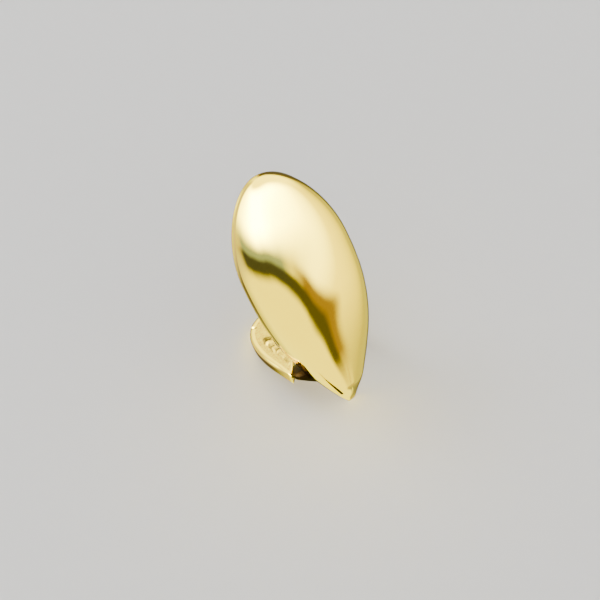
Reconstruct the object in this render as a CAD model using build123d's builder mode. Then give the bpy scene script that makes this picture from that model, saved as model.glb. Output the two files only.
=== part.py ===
# A single tooth cover: a hollow fang-shaped front shell with an oval band behind it.
# Frame: millimetres, +Z up, the round end up and the front towards -Y. The cover stands on its tip
# and on the back of its band. The origin is on the surface, under the middle of the outer box.
import os
from math import atan2, cos, degrees, pi, radians, sin, sqrt, tan

from build123d import *

# Front shell, measured from the tip along its axis to the round end
shell_length = 18.9
shell_half_width = 3.78
widest_from_tip = 12.8
round_end_fullness = 1.88
tip_radius = 0.20
tip_bluntness = 2.29
side_wall_height = 0.5
side_wall_at_tip = 0.08
side_wall_full_from_tip = 2.1
dome_rise = 3.2
crest_from_tip = 10.5
crest_rounding = 0.41
shell_thickness = 0.7
tip_thickness = 1.6

# Oval band, measured along the shell's axis and behind the shell's rim
band_half_width = 3.28
band_depth = 7.1
band_fullness = 2.45
opening_half_width = 2.2
opening_depth = 5.6
opening_fullness = 2.0
band_height = 0.8
band_from_tip = 3.95
band_foot = 0.22
band_end_angle = 45.0

# Roots that join the band's front ends to the shell
root_from_tip = 2.75
root_inset = 0.25
root_depth = 0.75

# Cross-sections: how far each side's curve keeps out from a straight slope, keeled near the tip
keel_fullness = 0.60
dome_fullness = 0.80
full_section_share = 0.345
stations = (
    0.008, 0.025, 0.06, 0.11, 0.18, 0.26, 0.34, 0.42, 0.50,
    0.58, 0.66, 0.74, 0.81, 0.87, 0.92, 0.955, 0.98, 0.996,
)
band_steps = 6

# The shell leans back until its tip and the band's foot touch the surface
lean = atan2(band_from_tip + band_foot, band_depth)
tip_start = stations[0] * shell_length
rim = Plane(origin=(0, 0, -tip_start * cos(lean)), x_dir=(1, 0, 0), z_dir=(0, -cos(lean), sin(lean)))


def half_width(y):
    """Half the rim's width at a distance y from the tip."""
    if y >= widest_from_tip:
        share = (y - widest_from_tip) / (shell_length - widest_from_tip)
        return shell_half_width * max(0.0, 1 - share**round_end_fullness) ** (1 / round_end_fullness)
    share = (widest_from_tip - y) / widest_from_tip
    taper = shell_half_width * (1 - share**tip_bluntness)
    return sqrt(taper**2 + 2 * tip_radius * y * share**6)


def wall_height(y):
    """Height of the side wall at a distance y from the tip."""
    share = min(1.0, y / side_wall_full_from_tip)
    return side_wall_at_tip + (side_wall_height - side_wall_at_tip) * share * share * (3 - 2 * share)


def crest_share(y):
    """Height of the crest at a distance y from the tip, as a share of the dome's rise."""
    if y >= crest_from_tip:
        share = (y - crest_from_tip) / (shell_length - crest_from_tip)
        return max(0.0, 1 - share**1.85) ** 0.61
    share = (crest_from_tip - y) / crest_from_tip
    top = sqrt(1 + crest_rounding**2)
    return (top - sqrt(share**2 + crest_rounding**2)) / (top - crest_rounding)


def section(share, inset, tip_inset, below):
    """Corners and curve handles of the right half of a cross-section, at a share of the shell's length."""
    y = share * shell_length
    wide = half_width(y) * (shell_half_width - inset) / shell_half_width
    wall = wall_height(y)
    crest = wall + (dome_rise - inset) * crest_share(y)
    along = min(1.0, share / full_section_share)
    fullness = keel_fullness + (dome_fullness - keel_fullness) * along * along * (3 - 2 * along)
    shoulder = wall + (crest - wall) * fullness
    return (0, -below), (wide, -below), (wide, wall), (wide, shoulder), (wide * fullness, crest), (0, crest)


def oval_half(across, deep, fullness, start_depth):
    """Points of an oval's right half, from a depth behind the rim round to the middle of the back."""
    first = (start_depth / deep) ** (fullness / 2)
    points = []
    for step in range(band_steps + 1):
        turn = first + (pi / 2 - first) * step / band_steps
        points.append((across * max(0.0, cos(turn)) ** (2 / fullness), deep * sin(turn) ** (2 / fullness)))
    points[-1] = (0.0, deep)
    return points


# The band is thicker at the back than at its ends, so its opening has a curve of its own
side_thickness = band_half_width - opening_half_width
band_end_cut = side_thickness * tan(radians(band_end_angle))
band_level = Plane(origin=rim.from_local_coords((0, band_from_tip, 0)), x_dir=(1, 0, 0), z_dir=rim.y_dir)
band_outside = oval_half(band_half_width, band_depth, band_fullness, 0.0)
band_opening = oval_half(opening_half_width, opening_depth, opening_fullness, band_end_cut)

# Each root is wide where it meets the rim and narrow where it meets the band, both drawn parallel to the rim
root_outside = band_half_width - root_inset
root_low = band_from_tip + root_inset
root_high = band_from_tip + band_height - root_inset
rim_middle = half_width(band_from_tip) - shell_thickness / 2
at_rim = (
    (half_width(root_from_tip) - shell_thickness, root_from_tip),
    (half_width(root_from_tip) - root_inset, root_from_tip),
    (root_outside, root_low),
    (root_outside, root_high),
    (rim_middle, root_high),
)
at_band = (
    (opening_half_width - root_inset, root_low),
    (opening_half_width, root_low),
    (root_outside, root_low),
    (root_outside, root_high),
    (opening_half_width - root_inset, root_high),
)

with BuildPart() as tooth_cover:
    # The outer form is added, and the hollow behind it is cut away
    for inset, tip_inset, below, mode in (
        (0, 0, 0, Mode.ADD),
        (shell_thickness, tip_thickness, shell_thickness, Mode.SUBTRACT),
    ):
        for share in stations:
            along = tip_inset + share * (shell_length - inset - tip_inset)
            foot, corner, shoulder, high, near, top = section(share, inset, tip_inset, below)
            with BuildSketch(Plane(origin=rim.from_local_coords((0, along, 0)), x_dir=(1, 0, 0), z_dir=-rim.y_dir)):
                with BuildLine():
                    Polyline(foot, corner, shoulder)
                    Bezier(shoulder, high, near, top)
                    mirror(about=Plane.YZ)
                make_face()
        loft(ruled=True, mode=mode)

    # The band goes back from the rim on one side of the tooth and round to the other
    with BuildSketch(band_level):
        with BuildLine():
            Spline(*band_outside, tangents=[(0, 1), (-1, 0)])
            Spline(*band_opening, tangents=[(0, 1), (-1, 0)])
            Line(band_outside[0], band_opening[0])
            mirror(about=Plane.YZ)
        make_face()
    extrude(amount=band_height)

    # A root fills the corner between each front end of the band and the rim
    with BuildSketch(rim.offset(side_wall_height / 2)):
        with BuildLine():
            Polyline(*at_rim, close=True)
        make_face()
        mirror(about=Plane.YZ)
    extrude(amount=-side_wall_height / 2)
    for side in (1, -1):
        for depth, corners in ((0, at_rim), (root_depth, at_band)):
            with BuildSketch(rim.offset(-depth)):
                with BuildLine():
                    Polyline(*[(side * x, y) for x, y in corners], close=True)
                make_face()
        loft(ruled=True)

    # The band's underside is filed flat where it stands
    with BuildSketch(Plane.XY):
        Rectangle(4 * band_half_width, 4 * shell_length)
    extrude(amount=-shell_length, mode=Mode.SUBTRACT)

middle = tooth_cover.part.bounding_box().center()
tooth_cover.part = tooth_cover.part.moved(Location((0, -middle.Y, 0)))
tooth_cover.part.label = "tooth_cover"
os.makedirs("parts", exist_ok=True)
export_step(tooth_cover.part, "parts/tooth_cover.step")
print("lean", round(degrees(lean), 2), "degrees, volume", round(tooth_cover.part.volume, 2), "mm3")
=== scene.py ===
# %% [markdown]
# # A fang-shaped tooth cover in polished gold
#
# The object is a small cast cover for one tooth: a hollow, domed front shell that tapers to a keeled
# tip, and a thin oval band behind it that goes round the tooth. The metal parts are one casting, so
# the solid model has one node. This notebook dresses that node: it draws the shell, the band and the
# two roots again as fine meshes from the same named sizes, and gives them a polished gold finish.

import math

import bmesh
import bpy
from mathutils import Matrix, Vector, noise


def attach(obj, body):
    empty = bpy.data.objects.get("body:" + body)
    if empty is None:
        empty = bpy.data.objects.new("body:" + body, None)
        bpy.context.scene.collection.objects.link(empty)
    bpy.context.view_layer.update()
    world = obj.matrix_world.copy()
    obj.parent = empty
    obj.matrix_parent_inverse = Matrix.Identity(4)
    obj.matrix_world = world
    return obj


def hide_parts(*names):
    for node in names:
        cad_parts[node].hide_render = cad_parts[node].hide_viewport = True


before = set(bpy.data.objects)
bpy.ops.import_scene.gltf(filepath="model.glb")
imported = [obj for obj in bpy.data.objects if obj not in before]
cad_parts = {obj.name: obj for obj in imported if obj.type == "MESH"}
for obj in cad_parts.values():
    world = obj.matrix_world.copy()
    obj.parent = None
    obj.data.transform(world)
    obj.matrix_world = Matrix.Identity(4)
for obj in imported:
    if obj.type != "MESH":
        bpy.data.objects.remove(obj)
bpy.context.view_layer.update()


def in_mm(point):
    """A point in metres as rounded millimetres, to print."""
    return [round(v * 1000, 2) for v in point]


# %% [markdown]
# ## The named sizes
#
# Every curve of the cover comes from a few sizes in millimetres. They are the same sizes as in the
# solid model, so that the fine meshes lie on it. Lengths run along the shell from its tip.

# %% Sizes of the shell, the band and the roots
MM = 0.001
SHELL_LENGTH = 18.9
SHELL_HALF_WIDTH = 3.78
WIDEST_FROM_TIP = 12.8
ROUND_END_FULLNESS = 1.88
TIP_RADIUS = 0.20
TIP_RADIUS_FADE = 6
TIP_BLUNTNESS = 2.29
SIDE_WALL_HEIGHT = 0.5
SIDE_WALL_AT_TIP = 0.08
SIDE_WALL_FULL_FROM_TIP = 2.1
DOME_RISE = 3.2
CREST_FROM_TIP = 10.5
CREST_ROUNDING = 0.41
CREST_FALL = 1.85
CREST_FALL_END = 0.61
SHELL_THICKNESS = 0.7
TIP_THICKNESS = 1.6
KEEL_FULLNESS = 0.60
DOME_FULLNESS = 0.80
FULL_SECTION_SHARE = 0.345
FIRST_STATION = 0.008

BAND_HALF_WIDTH = 3.28
BAND_DEPTH = 7.1
BAND_FULLNESS = 2.45
OPENING_HALF_WIDTH = 2.2
OPENING_DEPTH = 5.6
OPENING_FULLNESS = 2.0
BAND_HEIGHT = 0.8
BAND_FROM_TIP = 3.95
BAND_FOOT = 0.22

ROOT_FROM_TIP = 2.75
ROOT_INSET = 0.25
ROOT_DEPTH = 0.75

LEAN = math.atan2(BAND_FROM_TIP + BAND_FOOT, BAND_DEPTH)
print("shell", SHELL_LENGTH, "mm long, leaning back", round(math.degrees(LEAN), 2), "degrees")

# %% [markdown]
# ## The leaning frame
#
# The cover stands on its tip and on the back of its band, so the shell leans back. Points are drawn
# upright in the shell's own frame (across, along from the tip, out of the rim) and then turned by
# the lean. The place of the tip is read from the corners of the solid model's own mesh that touch the
# surface at the front, so the fine meshes lie on the solid.

# %% Turn the shell's own frame into the shared frame
TOUCHING = 0.01 * MM
node_mesh = bpy.data.objects["tooth_cover"].data
tip_corners = [v.co for v in node_mesh.vertices if v.co.z < TOUCHING and v.co.y < 0]
TIP_Y = sum(v.y for v in tip_corners) / len(tip_corners)
ACROSS = Vector((1, 0, 0))
ALONG = Vector((0, math.sin(LEAN), math.cos(LEAN)))
OUT = Vector((0, -math.cos(LEAN), math.sin(LEAN)))
TIP = Vector((0, TIP_Y, 0)) - ALONG * FIRST_STATION * SHELL_LENGTH * MM
TIP.z = -FIRST_STATION * SHELL_LENGTH * math.cos(LEAN) * MM


def placed(across, along, out):
    """A point of the shell's own frame, in millimetres, as a point of the shared frame in metres."""
    return TIP + (ACROSS * across + ALONG * along + OUT * out) * MM


print("tip at", in_mm(TIP), "read from", len(tip_corners), "corners")

# %% [markdown]
# ## The camera
#
# The photograph looks down on the cover from its left side. A long lens far away gives the flat
# perspective of a close-up. The point that it looks at is measured from the tip.

# %% Camera at the photograph's viewing angle
CAMERA_AZIMUTH = math.radians(-42.74)
CAMERA_ELEVATION = math.radians(60.13)
PHOTO_WIDTH = 38.94
CAMERA_DISTANCE = 420.0
TIP_RIGHT_OF_MIDDLE = 3.38
TIP_BELOW_MIDDLE = 6.44

to_camera = Vector((
    math.sin(CAMERA_AZIMUTH) * math.cos(CAMERA_ELEVATION),
    -math.cos(CAMERA_AZIMUTH) * math.cos(CAMERA_ELEVATION),
    math.sin(CAMERA_ELEVATION),
))
image_right = Vector((math.cos(CAMERA_AZIMUTH), math.sin(CAMERA_AZIMUTH), 0))
image_up = to_camera.cross(image_right)
look_at = TIP + (image_up * TIP_BELOW_MIDDLE - image_right * TIP_RIGHT_OF_MIDDLE) * MM

camera = bpy.data.objects.new("camera", bpy.data.cameras.new("camera"))
bpy.context.scene.collection.objects.link(camera)
camera.location = look_at + to_camera * CAMERA_DISTANCE * MM
camera.rotation_mode = "QUATERNION"
camera.rotation_quaternion = (-to_camera).to_track_quat("-Z", "Y")
camera.data.lens = camera.data.sensor_width * CAMERA_DISTANCE / PHOTO_WIDTH
camera.data.clip_start = 0.01
camera.data.clip_end = 10.0
bpy.context.scene.camera = camera
print("camera at", [round(v, 3) for v in camera.location], "lens", round(camera.data.lens))

# %% [markdown]
# ## Meshes from rows of points
#
# A casting like this has no flat faces to extrude. Each surface is a grid: rows of points, one row
# after another along the piece, joined by quads. One helper turns such rows into an object.

# %% Helpers that make meshes
MERGE_DISTANCE = 0.002 * MM


def mesh_object(name, points, faces, finishes):
    """A smooth-shaded object from points and faces, with the number of each face's finish."""
    mesh = bpy.data.meshes.new(name)
    mesh.from_pydata([tuple(p) for p in points], [], faces)
    mesh.polygons.foreach_set("material_index", finishes)
    mesh.validate()
    made = bmesh.new()
    made.from_mesh(mesh)
    bmesh.ops.remove_doubles(made, verts=made.verts, dist=MERGE_DISTANCE)
    bmesh.ops.recalc_face_normals(made, faces=made.faces)
    made.to_mesh(mesh)
    made.free()
    mesh.polygons.foreach_set("use_smooth", [True] * len(mesh.polygons))
    piece = bpy.data.objects.new(name, mesh)
    bpy.context.scene.collection.objects.link(piece)
    return piece


def quads(rows, columns, closed):
    """Faces that join rows of points, each row closed into a ring or open."""
    faces = []
    for row in range(rows - 1):
        for column in range(columns if closed else columns - 1):
            after = (column + 1) % columns
            a, b = row * columns, (row + 1) * columns
            faces.append((a + column, a + after, b + after, b + column))
    return faces


# %% [markdown]
# ## The shell
#
# The shell is a shallow dome with a leaf-shaped rim: round at the gum's end, pointed at the tip. It
# could be a ball that is pulled into shape by hand, but a few formulas keep it on the solid model. Each
# one gives a size of the shell at a distance from the tip.

# %% The shell's curves
def half_width(along):
    """Half the rim's width at a distance from the tip."""
    if along >= WIDEST_FROM_TIP:
        share = (along - WIDEST_FROM_TIP) / (SHELL_LENGTH - WIDEST_FROM_TIP)
        return SHELL_HALF_WIDTH * max(0.0, 1 - share**ROUND_END_FULLNESS) ** (1 / ROUND_END_FULLNESS)
    share = (WIDEST_FROM_TIP - along) / WIDEST_FROM_TIP
    taper = SHELL_HALF_WIDTH * (1 - share**TIP_BLUNTNESS)
    return math.sqrt(taper**2 + 2 * TIP_RADIUS * along * share**TIP_RADIUS_FADE)


def wall_height(along):
    """Height of the side wall at a distance from the tip."""
    share = min(1.0, along / SIDE_WALL_FULL_FROM_TIP)
    return SIDE_WALL_AT_TIP + (SIDE_WALL_HEIGHT - SIDE_WALL_AT_TIP) * share * share * (3 - 2 * share)


def crest_share(along):
    """Height of the crest at a distance from the tip, as a share of the dome's rise."""
    if along >= CREST_FROM_TIP:
        share = (along - CREST_FROM_TIP) / (SHELL_LENGTH - CREST_FROM_TIP)
        return max(0.0, 1 - share**CREST_FALL) ** CREST_FALL_END
    share = (CREST_FROM_TIP - along) / CREST_FROM_TIP
    top = math.sqrt(1 + CREST_ROUNDING**2)
    return (top - math.sqrt(share**2 + CREST_ROUNDING**2)) / (top - CREST_ROUNDING)


print("half width at root, band and widest place", [
    round(half_width(along), 2) for along in (ROOT_FROM_TIP, BAND_FROM_TIP, WIDEST_FROM_TIP)
])

# %% [markdown]
# ## A cross-section of the shell
#
# The cross-section changes from a full arch to a keel at the tip. Its right half goes up from the rim:
# round the rim's outer corner, up the low side wall, and along one smooth curve with two handles to
# the crest. The points are closer together at the dome's foot, where the curve is tight.

# %% The points of a cross-section
FOOT_SPACING = 0.35


def curve_place(step, steps):
    """Place on the dome's curve: 0 at its foot, 1 at the crest, with the points closer at the foot."""
    even = step / steps
    return even * (FOOT_SPACING + (1 - FOOT_SPACING) * even)


# The rim's outer corner is rounded, less so at the tip, where the shell is narrow and its wall low. The
# side wall is one step high, so that its smooth shading runs from the rounded corner to the dome.
ROUNDING_STEPS = 6
WALL_STEPS = 1
RIM_POINTS = ROUNDING_STEPS + WALL_STEPS
RIM_ROUNDING = 0.20
ROUNDING_OF_WIDTH = 0.3
ROUNDING_OF_WALL = 0.4
NARROWEST_SHARE = 0.02
SLOPE_STEP = 0.001


def right_section(share, inset, steps):
    """Points up the right half of a cross-section, from rim to crest, as across, out and shift along."""
    along = share * SHELL_LENGTH
    wide = half_width(along) * (SHELL_HALF_WIDTH - inset) / SHELL_HALF_WIDTH
    wall = wall_height(along)
    crest = wall + (DOME_RISE - inset) * crest_share(along)
    ease = min(1.0, share / FULL_SECTION_SHARE)
    fullness = KEEL_FULLNESS + (DOME_FULLNESS - KEEL_FULLNESS) * ease * ease * (3 - 2 * ease)
    shoulder = wall + (crest - wall) * fullness
    corners = ((wide, wall), (wide, shoulder), (wide * fullness, crest), (0.0, crest))
    rounding = RIM_ROUNDING
    if inset:
        rounding = 0.0
    elif along < WIDEST_FROM_TIP:
        rounding = min(RIM_ROUNDING, wide * ROUNDING_OF_WIDTH, wall * ROUNDING_OF_WALL)
    slope = (half_width(along + SLOPE_STEP) - half_width(along - SLOPE_STEP)) / (2 * SLOPE_STEP)
    points = []
    for step in range(ROUNDING_STEPS):
        turn = math.pi / 2 * (step / ROUNDING_STEPS - 1)
        inset_here = rounding * (1 - math.cos(turn)) / math.hypot(1, slope)
        across = max(wide - inset_here, wide * NARROWEST_SHARE)
        points.append((across, rounding + rounding * math.sin(turn), inset_here * min(0.0, slope)))
    for step in range(WALL_STEPS):
        points.append((wide, rounding + (wall - rounding) * step / WALL_STEPS, 0.0))
    for step in range(steps + 1):
        t = curve_place(step, steps)
        mix = ((1 - t) ** 3, 3 * (1 - t) ** 2 * t, 3 * (1 - t) * t * t, t**3)
        across, out = (sum(m * corner[axis] for m, corner in zip(mix, corners)) for axis in (0, 1))
        points.append((across, out, 0.0))
    return points


# %% [markdown]
# ## Marks on the shell
#
# Three small marks show on the real cover: a crease low on the left flank near the tip, where the
# casting folded, a fine scored line beside the keel, and the line where the dome meets its side
# wall. Each is a groove pressed into the points of the mesh before the faces are made. They are real
# dents, so they show from any side. A mark starts and becomes full, then
# fades and ends, at distances from the tip. It has a place and a width on the dome's curve.

# %% Grooves in the shell
def bump(x, centre, width):
    """A smooth bump of height 1."""
    return math.exp(-(((x - centre) / width) ** 2))


def ramp(x, low, high):
    """A smooth step from 0 at low to 1 at high."""
    share = min(1.0, max(0.0, (x - low) / (high - low)))
    return share * share * (3 - 2 * share)


PAST_THE_END = 2 * SHELL_LENGTH
WALL_LINE = {
    "depth": 0.035, "starts": 2.0, "full": 4.5, "fades": PAST_THE_END, "ends": PAST_THE_END + 1,
    "place": 0.0, "width": 0.006,
}
CREASE = {
    "depth": 0.15, "starts": 1.15, "full": 1.45, "fades": 3.2, "ends": 6.2, "place": 0.40, "width": 0.010,
}
CREASE_WIDER = 0.064
CREASE_WIDE_UNTIL = 1.2
CREASE_NARROW_FROM = 4.0
KEEL_LINE = {
    "depth": 0.010, "starts": 1.0, "full": 1.5, "fades": 2.6, "ends": 4.6, "place": 0.925, "width": 0.012,
}


def mark_depth(mark, t, along, wider=0.0):
    """How deep a mark is at a place on the dome's curve and a distance from the tip."""
    here = ramp(along, mark["starts"], mark["full"]) * (1 - ramp(along, mark["fades"], mark["ends"]))
    return mark["depth"] * here * bump(t, mark["place"], mark["width"] + wider)


def groove_depth(t, along, left):
    """How far all the marks press the outside in; two of them are on the left side only."""
    depth = mark_depth(WALL_LINE, t, along)
    if left:
        wider = CREASE_WIDER * (1 - ramp(along, CREASE_WIDE_UNTIL, CREASE_NARROW_FROM))
        depth += mark_depth(CREASE, t, along, wider) + mark_depth(KEEL_LINE, t, along)
    return depth


print("crease", round(groove_depth(CREASE["place"], CREASE["full"], True), 3), "mm deep where it is full")

# %% [markdown]
# ## The rings of the shell
#
# Each ring of the mesh goes up the outside of one cross-section, over the crest, down the other side
# and back through the hollow. So one grid gives the outside, the rim's narrow face and the inside, and
# the shell has a real thickness. The rings are closer together at both ends, where the outline turns.

# %% The rings of the shell
SHELL_ROWS = 250
OUTSIDE_STEPS = 116
INSIDE_STEPS = 16
LAST_STATION = 0.9997
EVEN_SPACING = 0.3
CORE_HEIGHT = 0.35
LEAST_DEPTH = 0.0005


def outside_half(share, along, left):
    """The outside of half a cross-section with its marks pressed in."""
    points = right_section(share, 0, OUTSIDE_STEPS)
    core = (0.0, points[-1][1] * CORE_HEIGHT)
    for step in range(OUTSIDE_STEPS):
        depth = groove_depth(curve_place(step, OUTSIDE_STEPS), along, left)
        if depth > LEAST_DEPTH:
            x, z, shift = points[RIM_POINTS + step]
            inward = Vector((core[0] - x, core[1] - z)).normalized() * depth
            points[RIM_POINTS + step] = (x + inward.x, z + inward.y, shift)
    return points


def section_ring(share):
    """One ring of the shell: outside from right to left, then the hollow from left to right."""
    along = share * SHELL_LENGTH
    right, left = outside_half(share, along, False), outside_half(share, along, True)
    outside = right + [(-x, z, shift) for x, z, shift in reversed(left[:-1])]
    ring = [placed(x, along + shift, z) for x, z, shift in outside]
    along = TIP_THICKNESS + share * (SHELL_LENGTH - SHELL_THICKNESS - TIP_THICKNESS)
    half = right_section(share, SHELL_THICKNESS, INSIDE_STEPS)
    hollow = [(-x, z) for x, z, shift in half] + [(x, z) for x, z, shift in reversed(half[:-1])]
    return ring + [placed(x, along, z) for x, z in hollow]


def shell_shares():
    """Places of the rings along the shell, closer together at both ends."""
    for row in range(SHELL_ROWS + 1):
        even = row / SHELL_ROWS
        eased = (1 - math.cos(math.pi * even)) / 2
        share = EVEN_SPACING * even + (1 - EVEN_SPACING) * eased
        yield min(LAST_STATION, max(FIRST_STATION, share))


row_shares = list(shell_shares())
rings = [section_ring(share) for share in row_shares]
ring_size = len(rings[0])
shell_points = [p for ring in rings for p in ring]
shell_faces = quads(len(rings), ring_size, True)
outside_size = 2 * (OUTSIDE_STEPS + RIM_POINTS + 1) - 1
print(len(rings), "rings of", ring_size, "points")

# %% [markdown]
# ## Which finish goes where
#
# Most of the outside is polished. The crease's bottom and the side wall next to the band get painted
# shade: a near-black finish that stands in for the shade there. The hollow and the rim's narrow face
# have a finish of their own. The painted shade on the side wall gets lower and lower along the shell
# until it ends. The first and the last ring are closed with faces, so that the shell is one closed skin.

# %% Finishes of the shell's faces and its two ends
# Finish 1 is painted shade: a near-black gold that stands in for shade
POLISHED, DARK, HOLLOW = 0, 1, 2
DARK_FROM_DEPTH = 0.05
CREASE_DARK_TO = 3.9
CREASE_BELOW = 0.6
# Where the side wall next to the band gets painted shade, by distance from the tip
PAINTED_RIM_SHADE_STARTS = 3.0
PAINTED_RIM_SHADE_FULL = 3.4
PAINTED_RIM_SHADE_FADES = 4.4
PAINTED_RIM_SHADE_ENDS = 8.5


def shell_finish(row, column):
    """The number of the finish of the face in a row and a column."""
    if column >= outside_size - 1:
        return HOLLOW
    along = row_shares[row] * SHELL_LENGTH
    column_middle = column + 0.5
    # The crease's bottom gets painted shade
    if outside_size // 2 < column < outside_size - RIM_POINTS - 1:
        t = curve_place(outside_size - 1 - RIM_POINTS - column_middle, OUTSIDE_STEPS)
        if t < CREASE_BELOW and along < CREASE_DARK_TO and groove_depth(t, along, True) > DARK_FROM_DEPTH:
            return DARK
    # The side wall next to the band gets painted shade, lower and lower along the shell
    from_rim = min(column_middle, outside_size - 1 - column_middle)
    painted_rim_shade = ramp(along, PAINTED_RIM_SHADE_STARTS, PAINTED_RIM_SHADE_FULL) * (1 - ramp(along, PAINTED_RIM_SHADE_FADES, PAINTED_RIM_SHADE_ENDS))
    return DARK if from_rim < RIM_POINTS * painted_rim_shade else POLISHED


shell_finishes = [shell_finish(*divmod(i, ring_size)) for i in range(len(shell_faces))]
for row in (0, len(rings) - 1):
    first = row * ring_size
    last = first + outside_size - 1
    crest = first + outside_size // 2
    for i in range(outside_size // 2 - 1):
        shell_faces.append((first + i, first + i + 1, last - i - 1, last - i))
        shell_finishes.append(POLISHED)
    shell_faces.append((crest - 1, crest, crest + 1))
    shell_finishes.append(POLISHED)
    shell_faces.append([first + i for i in range(outside_size, ring_size)])
    shell_faces.append((first, last, first + outside_size, first + ring_size - 1))
    shell_finishes += [HOLLOW, HOLLOW]
shell = mesh_object("shell", shell_points, shell_faces, shell_finishes)
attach(shell, "root")
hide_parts("tooth_cover")
print("shell", len(shell.data.polygons), "faces")

# %% [markdown]
# ## The band
#
# The band goes from one side of the shell round the back of the tooth to the other. Its outside and
# its opening are two ovals, so that its wall is thicker at the back than at the sides. It is drawn as
# one cross-section carried round both ovals. Its front ends are cut slantwise. The corners of the
# cross-section are rounded: more on the outside, which is polished, and less in the opening.

# %% The band's two ovals and its cross-section
BAND_ROWS = 220
BAND_EDGE = 0.07
BAND_ROUND = 0.20
CORNER_STEPS = 8
SIDE_STEPS = 12
OPENING_START = BAND_HALF_WIDTH - OPENING_HALF_WIDTH


def oval_point(across, deep, fullness, start_depth, share):
    """A point of an oval as across and depth: share 0 at the right front end, 1 at the left one."""
    first = (start_depth / deep) ** (fullness / 2)
    turn = first + (math.pi / 2 - first) * (1 - abs(1 - 2 * share))
    side = 1 if share <= 0.5 else -1
    x = side * across * max(0.0, math.cos(turn)) ** (2 / fullness)
    return Vector((x, deep * math.sin(turn) ** (2 / fullness)))


def band_walls(share):
    """The band's outside point and opening point at a share of its length."""
    outside = oval_point(BAND_HALF_WIDTH, BAND_DEPTH, BAND_FULLNESS, 0.0, share)
    opening = oval_point(OPENING_HALF_WIDTH, OPENING_DEPTH, OPENING_FULLNESS, OPENING_START, share)
    return outside, opening


def band_profile(thickness, end):
    """Points round the band's cross-section, as inset and height; end is 1 at a front end."""
    soft = BAND_ROUND + (BAND_EDGE - BAND_ROUND) * end
    corners = (
        (soft, soft, soft, 180),
        (thickness - BAND_EDGE, BAND_EDGE, BAND_EDGE, 270),
        (thickness - BAND_EDGE, BAND_HEIGHT - BAND_EDGE, BAND_EDGE, 0),
        (soft, BAND_HEIGHT - soft, soft, 90),
    )
    points = []
    for corner, (inset, height, radius, start) in enumerate(corners):
        for step in range(CORNER_STEPS + 1):
            turn = math.radians(start + 90 * step / CORNER_STEPS)
            points.append((inset + radius * math.cos(turn), height + radius * math.sin(turn)))
        after = corners[(corner + 1) % len(corners)]
        turn = math.radians(after[3])
        last = (after[0] + after[2] * math.cos(turn), after[1] + after[2] * math.sin(turn))
        first = points[-1]
        for step in range(1, SIDE_STEPS):
            t = step / SIDE_STEPS
            points.append(tuple(first[axis] + (last[axis] - first[axis]) * t for axis in (0, 1)))
    return points


back_outside, back_opening = band_walls(0.5)
back_wall = (back_outside - back_opening).length
print("band's wall", round(OPENING_START, 2), "mm thick at the sides,", round(back_wall, 2), "at the back")

# %% [markdown]
# ## The band's cast face
#
# The face of the band that looks towards the gum is left as cast: finely streaked, with a low ledge
# along its inner edge near the shell, a narrow groove at the ledge's foot, three soft beads of metal on
# the ledge, and two small pits. The streaks and the grain are noise that moves the points up and down,
# and the rest is added to the same height. Insets are measured in from the band's outside.

# %% Height of the cast face
BAND_ARC = 18.0
NEAR_SHELL = 0.22
NOT_NEAR_SHELL = 0.27

# Each layer of a fractal noise is weaker and finer than the one before
LAYER_FADE = 1.0
LAYER_FINER = 2.0
STREAK_HEIGHT = 0.006
STREAKS_ALONG = 0.8
STREAKS_INWARD = 7
STREAK_SLICE = 0.9
STREAK_LAYERS = 3
GRAIN_HEIGHT = 0.007
GRAIN_SCALE = 3
GRAIN_SLICE = 0.3
GRAIN_LAYERS = 4
FINE_GRAIN_HEIGHT = 0.004
FINE_GRAIN_SCALE = 12

LEDGE_INSET = 0.86
LEDGE_SOFTNESS = 0.05
LEDGE_RISE = 0.070
LEDGE_FOOT = 0.03
LEDGE_TOP = 0.02
LEDGE_WAVER = 0.05
LEDGE_WAVES = 30
GROOVE_DEPTH = 0.06
GROOVE_INSET = 0.05
GROOVE_WIDTH = 0.03

# Place along the band, inset, radius, and height, which is negative for a pit
BEADS = ((0.790, 1.08, 0.20, 0.07), (0.850, 1.04, 0.15, 0.04), (0.892, 1.10, 0.18, 0.05))
PITS = ((0.631, 0.22, 0.10, -0.14), (0.705, 0.06, 0.06, -0.08))


def cast_roughness(round_band, inset, inner):
    """Height of the streaks and the grain; inner is 1 where the grain is full and 0 where it has none."""
    stretched = Vector((round_band * STREAKS_ALONG, inset * STREAKS_INWARD, STREAK_SLICE))
    where = Vector((round_band, inset, GRAIN_SLICE))
    streaks = noise.fractal(stretched, LAYER_FADE, LAYER_FINER, STREAK_LAYERS) * STREAK_HEIGHT
    grain = noise.fractal(where * GRAIN_SCALE, LAYER_FADE, LAYER_FINER, GRAIN_LAYERS) * GRAIN_HEIGHT
    fine_grain = noise.noise(where * FINE_GRAIN_SCALE) * FINE_GRAIN_HEIGHT
    return streaks + inner * (grain + fine_grain)


def cast_height(share, inset):
    """How far the cast face stands above its plain height, in millimetres."""
    near_shell = 1 - ramp(min(share, 1 - share), NEAR_SHELL, NOT_NEAR_SHELL)
    inner = near_shell * ramp(inset, LEDGE_INSET - LEDGE_SOFTNESS, LEDGE_INSET + LEDGE_SOFTNESS)
    height = cast_roughness(share * BAND_ARC, inset, inner)
    ledge_line = LEDGE_INSET + LEDGE_WAVER * noise.noise(Vector((share * LEDGE_WAVES, 0, 0)))
    height += LEDGE_RISE * near_shell * ramp(inset, ledge_line - LEDGE_FOOT, ledge_line + LEDGE_TOP)
    height -= GROOVE_DEPTH * near_shell * bump(inset, ledge_line - GROOVE_INSET, GROOVE_WIDTH)
    for place, spot_inset, radius, rise in BEADS + PITS:
        distance = math.hypot((share - place) * BAND_ARC, inset - spot_inset)
        height += rise * bump(distance, 0, radius)
    return height


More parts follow.
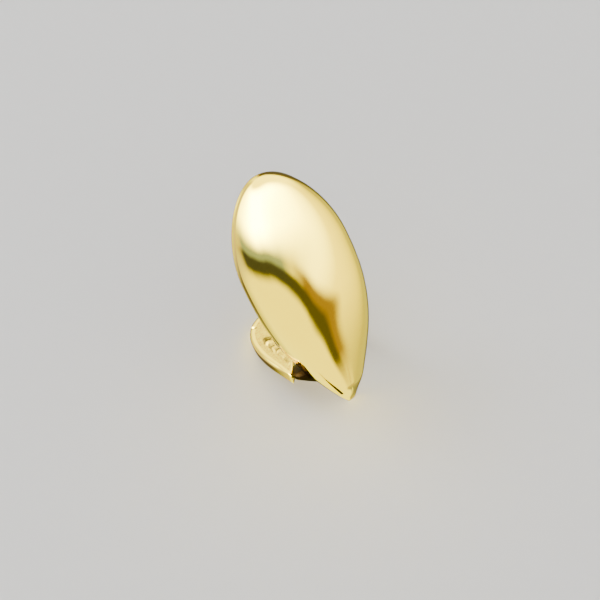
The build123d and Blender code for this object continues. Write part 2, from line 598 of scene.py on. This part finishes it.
bead_heights = [round(cast_height(place, inset), 2) for place, inset, _, _ in BEADS]
print("cast face at the beads", bead_heights, "mm above its plain height")

# %% [markdown]
# ## The rings of the band
#
# The band's rings stand on its two ovals, with the cast face's height added only near the top. Where
# the band stands on the surface it is filed flat, so no point may lie below it.

# %% The band's mesh
CAST = 1
FRONT_END = 0.045
TOP_STARTS = 0.6
TOP_FULL = 0.95


def band_ring(share):
    """One ring of the band: its cross-section between the two walls at a share of its length."""
    outside, opening = band_walls(share)
    thickness = (opening - outside).length
    end = 1 - ramp(min(share, 1 - share), 0.0, FRONT_END)
    ring = []
    for inset, height in band_profile(thickness, end):
        x, depth = outside.lerp(opening, inset / thickness)
        top = ramp(height, BAND_HEIGHT * TOP_STARTS, BAND_HEIGHT * TOP_FULL)
        if top > 0:
            height += top * cast_height(share, inset)
        point = placed(x, BAND_FROM_TIP + height, -depth)
        point.z = max(0.0, point.z)
        ring.append(point)
    return ring


band_points = [point for row in range(BAND_ROWS + 1) for point in band_ring(row / BAND_ROWS)]
profile_size = len(band_points) // (BAND_ROWS + 1)
band_faces = quads(BAND_ROWS + 1, profile_size, True)
top_start = 2 * (CORNER_STEPS + SIDE_STEPS)
top_end = 3 * (CORNER_STEPS + SIDE_STEPS) - 2
band_finishes = []
for i in range(len(band_faces)):
    band_finishes.append(CAST if top_start <= i % profile_size < top_end else POLISHED)
band_faces.append(list(range(profile_size)))
band_faces.append([BAND_ROWS * profile_size + i for i in range(profile_size)])
band = mesh_object("band", band_points, band_faces, band_finishes + [POLISHED, POLISHED])
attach(band, "root")
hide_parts("tooth_cover")
print("band", len(band.data.polygons), "faces")

# %% [markdown]
# ## The roots
#
# Each front end of the band meets the shell in a small web of cast metal. It is a hull round two
# five-cornered outlines, one on the rim and one on the band. A hull closes itself, whatever the
# outlines. It is then cut finer and roughened a little, so that it doesn't look machined.

# %% The roots' meshes
ROOT_CUTS = 3
ROOT_SOFTNESS = 0.1
ROOT_GRAIN = 2500
ROOT_ROUGHNESS = 0.015


def root_outlines():
    """Corners of the right root, on the rim and on the band."""
    outside = BAND_HALF_WIDTH - ROOT_INSET
    low, high = BAND_FROM_TIP + ROOT_INSET, BAND_FROM_TIP + BAND_HEIGHT - ROOT_INSET
    start = half_width(ROOT_FROM_TIP)
    rim_middle = half_width(BAND_FROM_TIP) - SHELL_THICKNESS / 2
    inner = OPENING_HALF_WIDTH
    at_rim = (
        (start - SHELL_THICKNESS, ROOT_FROM_TIP), (start - ROOT_INSET, ROOT_FROM_TIP),
        (outside, low), (outside, high), (rim_middle, high),
    )
    at_band = (
        (inner - ROOT_INSET, low), (inner, low), (outside, low), (outside, high), (inner - ROOT_INSET, high),
    )
    return at_rim, at_band


def make_root(name, side):
    """One root as a roughened hull."""
    at_rim, at_band = root_outlines()
    made = bmesh.new()
    for corners, out in ((at_rim, SIDE_WALL_HEIGHT / 2), (at_rim, 0.0), (at_band, -ROOT_DEPTH)):
        for x, along in corners:
            made.verts.new(placed(side * x, along, out))
    hull = bmesh.ops.convex_hull(made, input=made.verts)
    spare = {v for v in hull["geom_unused"] + hull["geom_interior"] if isinstance(v, bmesh.types.BMVert)}
    bmesh.ops.delete(made, geom=list(spare), context="VERTS")
    bmesh.ops.subdivide_edges(
        made, edges=made.edges, cuts=ROOT_CUTS, use_grid_fill=True, smooth=ROOT_SOFTNESS
    )
    made.normal_update()
    for vertex in made.verts:
        vertex.co += vertex.normal * noise.noise(vertex.co * ROOT_GRAIN) * ROOT_ROUGHNESS * MM
    mesh = bpy.data.meshes.new(name)
    made.to_mesh(mesh)
    made.free()
    mesh.polygons.foreach_set("use_smooth", [True] * len(mesh.polygons))
    root = bpy.data.objects.new(name, mesh)
    bpy.context.scene.collection.objects.link(root)
    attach(root, "root")
    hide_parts("tooth_cover")
    return root


roots = [make_root("root_right", 1), make_root("root_left", -1)]
print("roots", [len(root.data.polygons) for root in roots])

# %% [markdown]
# ## Uneven metal
#
# The metal and the floor need the same thing: a surface that is not perfectly even. One node group
# makes it from two sizes of noise. It gives out a mask for colour and roughness, and a normal for the
# relief, and each material sets its own sizes.

# %% Node helpers and the uneven metal group
def new_material(name):
    """An empty node material."""
    material = bpy.data.materials.new(name)
    material.use_nodes = True
    material.node_tree.nodes.clear()
    return material, material.node_tree.nodes, material.node_tree.links


UNEVEN_DEFAULTS = {
    "Broad Scale": 300.0, "Fine Scale": 3000.0,
    "Broad Relief": 0.00002, "Fine Relief": 0.000002,
}
BROAD_DETAIL = 2.0
FINE_DETAIL = 3.0


def uneven_metal_group():
    """A group with a mask that changes over the surface and a gently bumped normal."""
    group = bpy.data.node_groups.new("uneven_metal", "ShaderNodeTree")
    for name, value in UNEVEN_DEFAULTS.items():
        socket = group.interface.new_socket(name, in_out="INPUT", socket_type="NodeSocketFloat")
        socket.default_value = value
    group.interface.new_socket("Mask", in_out="OUTPUT", socket_type="NodeSocketFloat")
    group.interface.new_socket("Normal", in_out="OUTPUT", socket_type="NodeSocketVector")
    nodes, links = group.nodes, group.links
    inputs = nodes.new("NodeGroupInput")
    outputs = nodes.new("NodeGroupOutput")
    place = nodes.new("ShaderNodeTexCoord")
    normal = None
    masks = []
    for size, detail in (("Broad", BROAD_DETAIL), ("Fine", FINE_DETAIL)):
        texture = nodes.new("ShaderNodeTexNoise")
        texture.inputs["Detail"].default_value = detail
        links.new(place.outputs["Object"], texture.inputs["Vector"])
        links.new(inputs.outputs[f"{size} Scale"], texture.inputs["Scale"])
        relief_bump = nodes.new("ShaderNodeBump")
        links.new(texture.outputs["Fac"], relief_bump.inputs["Height"])
        links.new(inputs.outputs[f"{size} Relief"], relief_bump.inputs["Distance"])
        if normal is not None:
            links.new(normal, relief_bump.inputs["Normal"])
        normal = relief_bump.outputs["Normal"]
        masks.append(texture.outputs["Fac"])
    blend = nodes.new("ShaderNodeMix")
    blend.inputs["Factor"].default_value = 0.5
    links.new(masks[0], blend.inputs["A"])
    links.new(masks[1], blend.inputs["B"])
    links.new(blend.outputs["Result"], outputs.inputs["Mask"])
    links.new(normal, outputs.inputs["Normal"])
    return group


def add_uneven_metal(nodes, scales, reliefs):
    """The group's node in a material, with its broad and fine scale and its broad and fine relief."""
    uneven = nodes.new("ShaderNodeGroup")
    uneven.node_tree = uneven_metal
    for size, scale, relief in zip(("Broad", "Fine"), scales, reliefs):
        uneven.inputs[f"{size} Scale"].default_value = scale
        uneven.inputs[f"{size} Relief"].default_value = relief
    return uneven


uneven_metal = uneven_metal_group()
print("group", uneven_metal.name, "with", len(uneven_metal.nodes), "nodes")

# %% [markdown]
# ## The gold finishes
#
# Polished gold is all reflection: its colour tints whatever it mirrors. The polished material is a
# metal with a low roughness that varies a little and a very weak relief from hand polishing. The cast
# gold of the band's face is duller, grainy and browner in its hollows, where the polishing wheel never
# reached. The hollow is duller still. The near-black gold is painted shade for the corners beside the
# band, the crease's bottom and the roots. One function makes all four from their tones and roughness.

# %% Gold materials
TONE_MASK = (0.35, 0.60)
ROUGHNESS_MASK = (0.3, 0.7)


def gold_material(name, light_tone, dark_tone, roughness_range, scales, reliefs):
    """A gold finish between two tones and two roughnesses, with the uneven metal's scales and reliefs."""
    material, nodes, links = new_material(name)
    output = nodes.new("ShaderNodeOutputMaterial")
    shader = nodes.new("ShaderNodeBsdfPrincipled")
    uneven = add_uneven_metal(nodes, scales, reliefs)
    tone = nodes.new("ShaderNodeMix")
    tone.data_type = "RGBA"
    tone.inputs["A"].default_value = (*dark_tone, 1)
    tone.inputs["B"].default_value = (*light_tone, 1)
    spread = nodes.new("ShaderNodeMapRange")
    spread.interpolation_type = "SMOOTHSTEP"
    spread.inputs["From Min"].default_value, spread.inputs["From Max"].default_value = TONE_MASK
    roughness = nodes.new("ShaderNodeMapRange")
    roughness.inputs["From Min"].default_value, roughness.inputs["From Max"].default_value = ROUGHNESS_MASK
    roughness.inputs["To Min"].default_value, roughness.inputs["To Max"].default_value = roughness_range
    shader.inputs["Metallic"].default_value = 1.0
    links.new(uneven.outputs["Mask"], spread.inputs["Value"])
    links.new(spread.outputs["Result"], tone.inputs["Factor"])
    links.new(tone.outputs["Result"], shader.inputs["Base Color"])
    links.new(uneven.outputs["Mask"], roughness.inputs["Value"])
    links.new(roughness.outputs["Result"], shader.inputs["Roughness"])
    links.new(uneven.outputs["Normal"], shader.inputs["Normal"])
    links.new(shader.outputs["BSDF"], output.inputs["Surface"])
    return material


polished_gold = gold_material(
    "polished_gold", light_tone=(1.0, 0.76, 0.05), dark_tone=(0.97, 0.73, 0.045),
    roughness_range=(0.05, 0.08), scales=(260.0, 5000.0), reliefs=(0.000004, 0.0000004),
)
cast_gold = gold_material(
    "cast_gold", light_tone=(0.74, 0.55, 0.035), dark_tone=(0.46, 0.32, 0.022),
    roughness_range=(0.16, 0.30), scales=(1100.0, 9000.0), reliefs=(0.000010, 0.000003),
)
# Painted shade: a near-black gold that stands in for the shade beside the band, in the crease and on the
# roots
painted_shade_gold = gold_material(
    "painted_shade_gold", light_tone=(0.014, 0.008, 0.002), dark_tone=(0.006, 0.003, 0.001),
    roughness_range=(0.45, 0.65), scales=(1400.0, 9000.0), reliefs=(0.000015, 0.000005),
)
hollow_gold = gold_material(
    "hollow_gold", light_tone=(0.62, 0.44, 0.05), dark_tone=(0.36, 0.24, 0.03),
    roughness_range=(0.28, 0.42), scales=(900.0, 7000.0), reliefs=(0.000012, 0.000004),
)
gold_finishes = (polished_gold, cast_gold, painted_shade_gold, hollow_gold)
print("gold finishes", [finish.name for finish in gold_finishes])

# %% [markdown]
# ## The finishes on the pieces
#
# A face's finish number says which of its piece's materials it has. So the materials go on each piece in
# the order of those numbers: polished, painted shade and hollow on the shell, polished and cast on the
# band. The roots are dark all over with painted shade.

# %% Put the finishes on the pieces
for finish in (polished_gold, painted_shade_gold, hollow_gold):
    shell.data.materials.append(finish)
band.data.materials.append(polished_gold)
band.data.materials.append(cast_gold)
# The roots get painted shade all over, for the shade between band and shell
for root in roots:
    root.data.materials.append(painted_shade_gold)
print("finishes", {piece.name: len(piece.data.materials) for piece in (shell, band, *roots)})

# %% [markdown]
# ## Floor
#
# The set is a plain pale floor. It is rough and has a fine grain, so that it takes a soft shadow and
# mirrors nothing. It is hidden from gloss, because the tent below already says what the gold mirrors.

# %% Floor
FLOOR_HALF = 0.6
FLOOR_TONES = ((0.545, 0.54, 0.53, 1), (0.575, 0.57, 0.56, 1))
FLOOR_ROUGHNESS = 0.7
FLOOR_SCALES = (25.0, 900.0)
FLOOR_RELIEFS = (0.0, 0.00002)

floor_corners = [(FLOOR_HALF * x, FLOOR_HALF * y, 0) for x, y in ((-1, -1), (1, -1), (1, 1), (-1, 1))]
floor_mesh = bpy.data.meshes.new("floor")
floor_mesh.from_pydata(floor_corners, [], [(0, 1, 2, 3)])
floor = bpy.data.objects.new("floor", floor_mesh)
bpy.context.scene.collection.objects.link(floor)
floor.visible_glossy = False
floor_material, nodes, links = new_material("pale_floor")
output = nodes.new("ShaderNodeOutputMaterial")
shader = nodes.new("ShaderNodeBsdfPrincipled")
uneven = add_uneven_metal(nodes, FLOOR_SCALES, FLOOR_RELIEFS)
tone = nodes.new("ShaderNodeMix")
tone.data_type = "RGBA"
tone.inputs["A"].default_value, tone.inputs["B"].default_value = FLOOR_TONES
shader.inputs["Roughness"].default_value = FLOOR_ROUGHNESS
links.new(uneven.outputs["Mask"], tone.inputs["Factor"])
links.new(tone.outputs["Result"], shader.inputs["Base Color"])
links.new(uneven.outputs["Normal"], shader.inputs["Normal"])
links.new(shader.outputs["BSDF"], output.inputs["Surface"])
floor.data.materials.append(floor_material)
print("floor", 2 * FLOOR_HALF, "m across")

# %% [markdown]
# ## The studio
#
# A polished thing shows its studio. Here that is a soft tent: white and bright above, a warm wall in
# front, a dimmer one on the right, and a dark gap between them that the shell mirrors as its curved
# dark band. The sky is drawn with nodes from the direction of each ray: the angle from the middle of
# the front wall says which wall it meets. Matt things, such as the floor, get an even light instead,
# so the pattern shows only in gloss.

# %% Sky nodes
world = bpy.data.worlds.new("studio")
world.use_nodes = True
bpy.context.scene.world = world
nodes, links = world.node_tree.nodes, world.node_tree.links
nodes.clear()


def feed(socket, value):
    """Puts a number, a colour or another node's output into a socket."""
    if isinstance(value, bpy.types.NodeSocket):
        links.new(value, socket)
    else:
        socket.default_value = value


def calc(operation, first, second=0.0):
    """A math node."""
    node = nodes.new("ShaderNodeMath")
    node.operation = operation
    feed(node.inputs[0], first)
    feed(node.inputs[1], second)
    return node.outputs[0]


def the_rest(share):
    """What is left of 1."""
    return calc("SUBTRACT", 1.0, share)


def in_degrees(angle):
    """An angle in degrees, from radians."""
    return calc("MULTIPLY", angle, 180 / math.pi)


def step_up(value, limits):
    """A smooth step from 0 at the lower limit to 1 at the upper one."""
    node = nodes.new("ShaderNodeMapRange")
    node.interpolation_type = "SMOOTHSTEP"
    feed(node.inputs["Value"], value)
    node.inputs["From Min"].default_value, node.inputs["From Max"].default_value = limits
    return node.outputs["Result"]


def blend_colours(share, first, second):
    """A mix of two colours, brighter than white where they are."""
    node = nodes.new("ShaderNodeMix")
    node.data_type = "RGBA"
    node.clamp_result = False
    feed(node.inputs["Factor"], share)
    for socket, value in ((node.inputs["A"], first), (node.inputs["B"], second)):
        feed(socket, value if isinstance(value, bpy.types.NodeSocket) else (*value, 1))
    return node.outputs["Result"]


def along_axis(axis):
    """How far the ray's direction goes along an axis."""
    node = nodes.new("ShaderNodeVectorMath")
    node.operation = "DOT_PRODUCT"
    links.new(direction, node.inputs[0])
    node.inputs[1].default_value = axis
    return node.outputs["Value"]


direction = nodes.new("ShaderNodeTexCoord").outputs["Generated"]

# %% [markdown]
# ## Where the walls are
#
# The front wall is a round patch of the sky, so one angle is enough to find its edge: how far a ray is
# from the wall's middle. A second angle, round that middle like the hand of a clock, says on which
# side the ray is. The edge isn't a true circle. A curve over the clock angle pushes it in and out, which
# gives the dark band in the reflection its wavy sides.

# %% The tent's walls
FRONT_WALL_AZIMUTH = math.radians(-45.9)
FRONT_WALL_ELEVATION = math.radians(-36.6)
FRONT_WALL_RADIUS = 57.1

wall_axis = Vector((
    math.sin(FRONT_WALL_AZIMUTH) * math.cos(FRONT_WALL_ELEVATION),
    -math.cos(FRONT_WALL_AZIMUTH) * math.cos(FRONT_WALL_ELEVATION),
    math.sin(FRONT_WALL_ELEVATION),
))
wall_up = (Vector((0, 0, 1)) - wall_axis * wall_axis.z).normalized()
wall_right = wall_up.cross(wall_axis)
from_wall = in_degrees(calc("ARCCOSINE", along_axis(wall_axis)))
clock = in_degrees(calc("ARCTAN2", along_axis(wall_right), along_axis(wall_up)))
around = calc("DIVIDE", calc("ADD", clock, 180), 360)

# The wall's edge waves in and out: degrees past its mean radius, by the clock angle round its middle
EDGE = (
    (-180, 20), (-165, 17), (-150, 11), (-125, 8), (-110, 4), (-95, -1), (-80, -6), (-60, -9), (-35, -9.5),
    (-10, -6), (10, 0), (30, 5), (48, 7), (60, 4), (72, -2), (95, -6.5), (135, -5), (155, 10), (180, 20),
)
EDGE_SPAN = 25.0
curve = nodes.new("ShaderNodeFloatCurve")
feed(curve.inputs["Value"], around)
points = curve.mapping.curves[0].points
for place, (angle, push) in enumerate(EDGE):
    x, y = (angle + 180) / 360, 0.5 + push / EDGE_SPAN / 2
    if place < 2:
        points[place].location = (x, y)
    else:
        points.new(x, y)
curve.mapping.update()
edge_push = calc("MULTIPLY", calc("SUBTRACT", curve.outputs["Value"], 0.5), 2 * EDGE_SPAN)
past_edge = calc("SUBTRACT", calc("SUBTRACT", from_wall, FRONT_WALL_RADIUS), edge_push)

# The dark gap narrows towards its lower right end, where angles past the edge count for more
NARROWING = (84, 118)
NARROWED_BY = 1.3
NARROWED_FROM = 5.0
narrowing = step_up(clock, NARROWING)
steeper = calc("ADD", 1.0, calc("MULTIPLY", narrowing, NARROWED_BY))
moved_in = calc("MULTIPLY", narrowing, NARROWED_FROM)
past_edge = calc("ADD", calc("MULTIPLY", past_edge, steeper), moved_in)
print("front wall", FRONT_WALL_RADIUS, "degrees round", [round(v, 3) for v in wall_axis])

# %% [markdown]
# ## What each part of the tent gives
#
# Round the wall's edge the light changes with the clock angle: white at the top, dim on the right, and
# with strips that look grey-green, orange and ochre in the gold. There is one ring of colours near the
# edge and one far from it, and the sky fades from one to the other. Over them go the dark gap, the
# front wall and the wall behind. A colour ramp is meant for colours up to 1, so the levels are
# divided by the brightest and multiplied again.

# %% Light from each part of the tent
BRIGHTEST = 40.0
CEILING = (40.0, 40.0, 42.0)
CEILING_SIDE = (20.0, 20.0, 20.0)
CEILING_END = (9.0, 9.0, 8.0)
FRONT_WALL = (2.9, 2.75, 0.3)
REAR_WALL = (5.0, 4.8, 2.5)
RIGHT_WALL = (3.7, 3.45, 0.8)
DIM_RIGHT_WALL = (2.3, 2.15, 0.4)
DARK_RIGHT_WALL = (1.1, 1.05, 0.4)
GREEN_STRIP = (0.60, 0.80, 2.4)
ORANGE_STRIP = (0.55, 0.36, 0.05)
OCHRE_STRIP = (1.5, 1.4, 1.2)
SHADE = (0.17, 0.15, 0.10)
DARK_GAP = (0.10, 0.11, 0.25)
WARM_GAP = (0.15, 0.14, 0.06)


def round_the_wall(stops):
    """A colour that changes with the clock angle, between stops of an angle and a colour."""
    node = nodes.new("ShaderNodeValToRGB")
    feed(node.inputs["Fac"], around)
    elements = node.color_ramp.elements
    for place, (angle, colour) in enumerate(stops):
        element = elements[place] if place < 2 else elements.new(1.0)
        element.position = (angle + 180) / 360
        element.color = (*[part / BRIGHTEST for part in colour], 1)
    scaled = nodes.new("ShaderNodeVectorMath")
    scaled.operation = "SCALE"
    links.new(node.outputs["Color"], scaled.inputs[0])
    scaled.inputs["Scale"].default_value = BRIGHTEST
    return scaled.outputs["Vector"]


near_edge = round_the_wall((
    (-180, SHADE), (-150, SHADE), (-125, OCHRE_STRIP), (-106, OCHRE_STRIP), (-97, GREEN_STRIP),
    (42, GREEN_STRIP), (52, DIM_RIGHT_WALL), (62, ORANGE_STRIP), (117, ORANGE_STRIP),
    (126, DIM_RIGHT_WALL), (135, DARK_RIGHT_WALL), (165, SHADE),
))
far_from_edge = round_the_wall((
    (-180, SHADE), (-150, SHADE), (-128, OCHRE_STRIP), (-112, OCHRE_STRIP), (-98, CEILING_END),
    (-60, CEILING_SIDE), (-15, CEILING), (20, CEILING), (40, CEILING_SIDE), (60, CEILING_END),
    (80, RIGHT_WALL), (112, DIM_RIGHT_WALL), (130, DARK_RIGHT_WALL), (145, DARK_RIGHT_WALL), (162, SHADE),
))

# %% The parts laid over each other
# Limits on the clock angle
RIGHT_SIDE = (52, 72)
GAP_STARTS = (-118, -98)
GAP_ENDS = (117, 124)
GAP_WARMS = (35, 75)
# Limits in degrees past the wall's edge
FADE = (10, 36)
FADE_ON_RIGHT = (11, 18)
GAP_FADES = (3.5, 9.0)
WALL_FADES = (-15, -3)
# Limits in degrees from the wall's middle
REAR_WALL_STARTS = (124, 150)

on_right = step_up(clock, RIGHT_SIDE)
fade_on_left = calc("MULTIPLY", the_rest(on_right), step_up(past_edge, FADE))
fade_on_right = calc("MULTIPLY", on_right, step_up(past_edge, FADE_ON_RIGHT))
tent = blend_colours(calc("ADD", fade_on_left, fade_on_right), near_edge, far_from_edge)
gap_sides = calc("MULTIPLY", step_up(clock, GAP_STARTS), the_rest(step_up(clock, GAP_ENDS)))
gap = calc("MULTIPLY", the_rest(step_up(past_edge, GAP_FADES)), gap_sides)
gap_colour = blend_colours(step_up(clock, GAP_WARMS), DARK_GAP, WARM_GAP)
tent = blend_colours(gap, tent, gap_colour)
tent = blend_colours(step_up(past_edge, WALL_FADES), FRONT_WALL, tent)
tent = blend_colours(step_up(from_wall, REAR_WALL_STARTS), tent, REAR_WALL)
print("tent drawn with", len(nodes), "nodes")

# %% [markdown]
# ## Light for matt things
#
# The floor would take a tint from the tent's strong colours. So the background asks what kind of ray
# meets it: a glossy one sees the tent, any other an even light that is a little brighter above. A key
# light from behind gives the soft shadow. It is hidden from gloss, so the gold doesn't mirror it.

# %% Even light, and the two together
EVEN_RISE = (-5, 70)
LOW_LIGHT = (0.9, 0.9, 0.92)
HIGH_LIGHT = (1.4, 1.4, 1.4)

height_up = in_degrees(calc("ARCSINE", along_axis((0, 0, 1))))
even_light = blend_colours(step_up(height_up, EVEN_RISE), LOW_LIGHT, HIGH_LIGHT)
rays = nodes.new("ShaderNodeLightPath")
background = nodes.new("ShaderNodeBackground")
links.new(blend_colours(rays.outputs["Is Glossy Ray"], even_light, tent), background.inputs["Color"])
background.inputs["Strength"].default_value = 1.0
output = nodes.new("ShaderNodeOutputWorld")
links.new(background.outputs["Background"], output.inputs["Surface"])

# %% Key light
KEY_POWER = 0.5
KEY_SIZE = 0.12
KEY_PLACE = (-0.10, 0.22, 0.26)

key = bpy.data.objects.new("key", bpy.data.lights.new("key", "AREA"))
key.data.energy = KEY_POWER
key.data.size = KEY_SIZE
key.location = KEY_PLACE
key.rotation_mode = "QUATERNION"
key.rotation_quaternion = (TIP - key.location).to_track_quat("-Z", "Y")
key.visible_glossy = False
bpy.context.scene.collection.objects.link(key)
print("key light", round((TIP - key.location).length, 3), "m from the tip")
